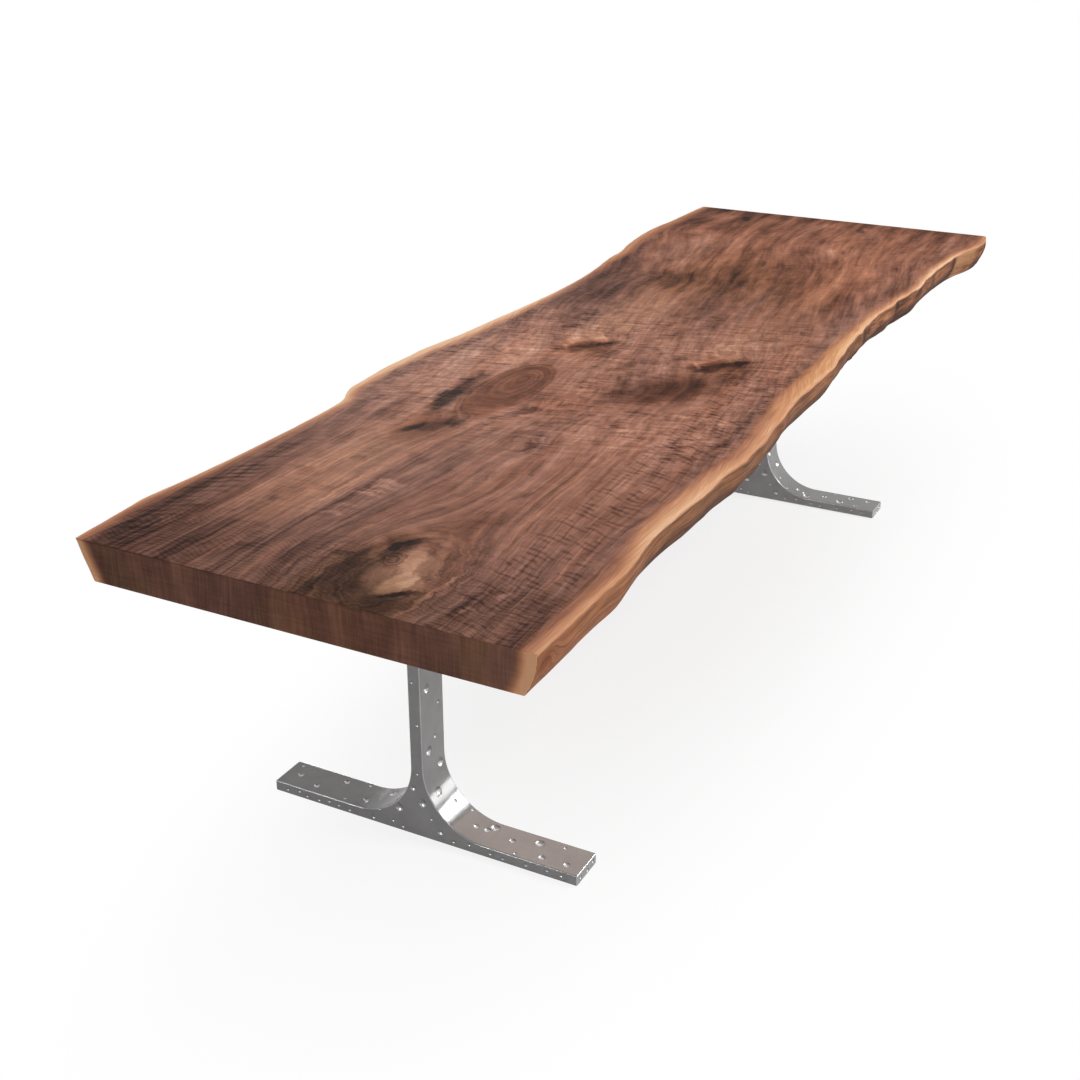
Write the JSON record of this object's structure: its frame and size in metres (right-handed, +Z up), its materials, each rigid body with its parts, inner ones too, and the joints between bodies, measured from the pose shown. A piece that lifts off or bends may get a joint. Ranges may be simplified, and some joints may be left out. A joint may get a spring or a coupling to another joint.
{
  "type": "live edge dining table",
  "caption": "Long dining table: one thick live-edge walnut slab on cast aluminium inverted-T pedestals with a pitted satin surface, steel mounting plates and screw levellers.",
  "frame": {"origin": "on the floor, under the centre of the slab's outline", "axes": "+X along the slab, +Y across it towards the back live edge, +Z up"},
  "size_m": [2.955, 0.9543, 0.76],
  "materials": {
    "walnut": "oiled satin",
    "cast_aluminium": "satin, as cast and brushed, with shallow pits",
    "plate_steel": "satin black powder coat",
    "zinc_steel": "zinc plated",
    "insert_brass": "turned",
    "pad_nylon": "moulded matt"
  },
  "bodies": {
    "root": {"slab_top": "walnut", "left_leg": "cast_aluminium", "left_mounting_plate": "plate_steel", "left_plate_screws": "zinc_steel", "left_plate_washers": "zinc_steel", "left_slab_inserts": "insert_brass", "left_leg_bolts": "zinc_steel", "left_leg_washers": "zinc_steel", "left_leveller_bushes": "zinc_steel", "right_leg": "cast_aluminium", "right_mounting_plate": "plate_steel", "right_plate_screws": "zinc_steel", "right_plate_washers": "zinc_steel", "right_slab_inserts": "insert_brass", "right_leg_bolts": "zinc_steel", "right_leg_washers": "zinc_steel", "right_leveller_bushes": "zinc_steel"},
    "left_front_pad": {"left_front_leveller_pad": "pad_nylon"},
    "left_front_stud": {"left_front_leveller_stud": "zinc_steel"},
    "left_back_pad": {"left_back_leveller_pad": "pad_nylon"},
    "left_back_stud": {"left_back_leveller_stud": "zinc_steel"},
    "right_front_pad": {"right_front_leveller_pad": "pad_nylon"},
    "right_front_stud": {"right_front_leveller_stud": "zinc_steel"},
    "right_back_pad": {"right_back_leveller_pad": "pad_nylon"},
    "right_back_stud": {"right_back_leveller_stud": "zinc_steel"}
  },
  "joints": [
    {"name": "left_front_level", "type": "slide", "parent": "root", "child": "left_front_pad", "axis": [0, 0, -1], "range_m": [0, 0.005]},
    {"name": "left_front_turn", "type": "hinge", "parent": "left_front_pad", "child": "left_front_stud", "pos_m": [-0.997, -0.295, 0.006], "axis": [0, 0, -1], "range_deg": [0, 1200]},
    {"name": "left_back_level", "type": "slide", "parent": "root", "child": "left_back_pad", "axis": [0, 0, -1], "range_m": [0, 0.005]},
    {"name": "left_back_turn", "type": "hinge", "parent": "left_back_pad", "child": "left_back_stud", "pos_m": [-0.997, 0.345, 0.006], "axis": [0, 0, -1], "range_deg": [0, 1200]},
    {"name": "right_front_level", "type": "slide", "parent": "root", "child": "right_front_pad", "axis": [0, 0, -1], "range_m": [0, 0.005]},
    {"name": "right_front_turn", "type": "hinge", "parent": "right_front_pad", "child": "right_front_stud", "pos_m": [0.997, -0.295, 0.006], "axis": [0, 0, -1], "range_deg": [0, 1200]},
    {"name": "right_back_level", "type": "slide", "parent": "root", "child": "right_back_pad", "axis": [0, 0, -1], "range_m": [0, 0.005]},
    {"name": "right_back_turn", "type": "hinge", "parent": "right_back_pad", "child": "right_back_stud", "pos_m": [0.997, 0.345, 0.006], "axis": [0, 0, -1], "range_deg": [0, 1200]}
  ],
  "couplings": [
    {"joint": "left_front_level", "follows": "left_front_turn", "m_per_rad": 0.00023873},
    {"joint": "left_back_level", "follows": "left_back_turn", "m_per_rad": 0.00023873},
    {"joint": "right_front_level", "follows": "right_front_turn", "m_per_rad": 0.00023873},
    {"joint": "right_back_level", "follows": "right_back_turn", "m_per_rad": 0.00023873}
  ]
}
